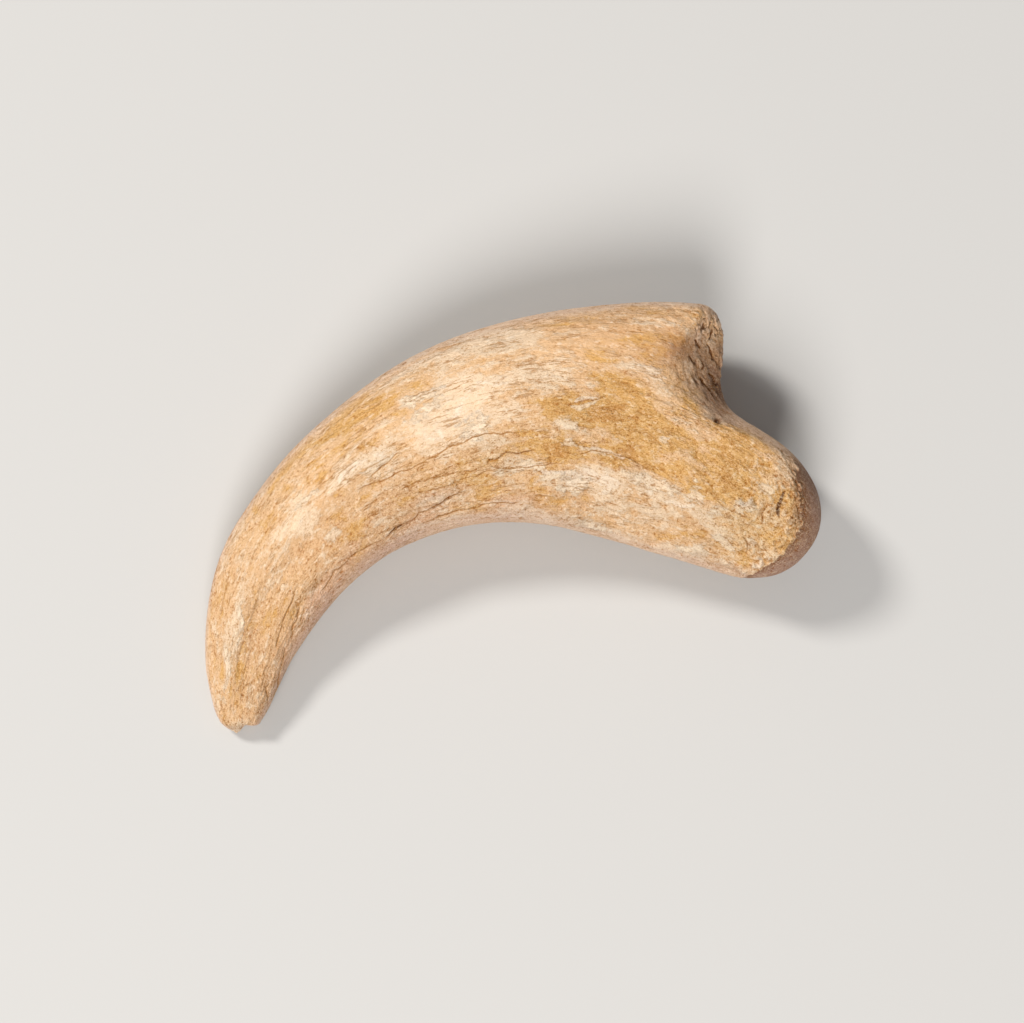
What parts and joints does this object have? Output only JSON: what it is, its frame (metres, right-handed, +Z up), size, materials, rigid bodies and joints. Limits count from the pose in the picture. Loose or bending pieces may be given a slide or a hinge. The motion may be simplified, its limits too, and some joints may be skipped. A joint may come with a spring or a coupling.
{
  "type": "dinosaur fossil claw",
  "caption": "Curved fossil claw bone lying on its side, with a blunt tip, grooved sides, a dished joint socket and a rounded heel.",
  "frame": {"origin": "middle of the claw's footprint, on the surface it lies on", "axes": "+X along the claw from its tip to its joint end, +Y towards the outer curve of its back, +Z up from the surface"},
  "size_m": [0.1496, 0.1036, 0.0358],
  "materials": {
    "bone": "matt, weathered fossil bone, cream to ochre with brown grooves"
  },
  "bodies": {
    "root": {"claw": "bone"}
  },
  "joints": []
}
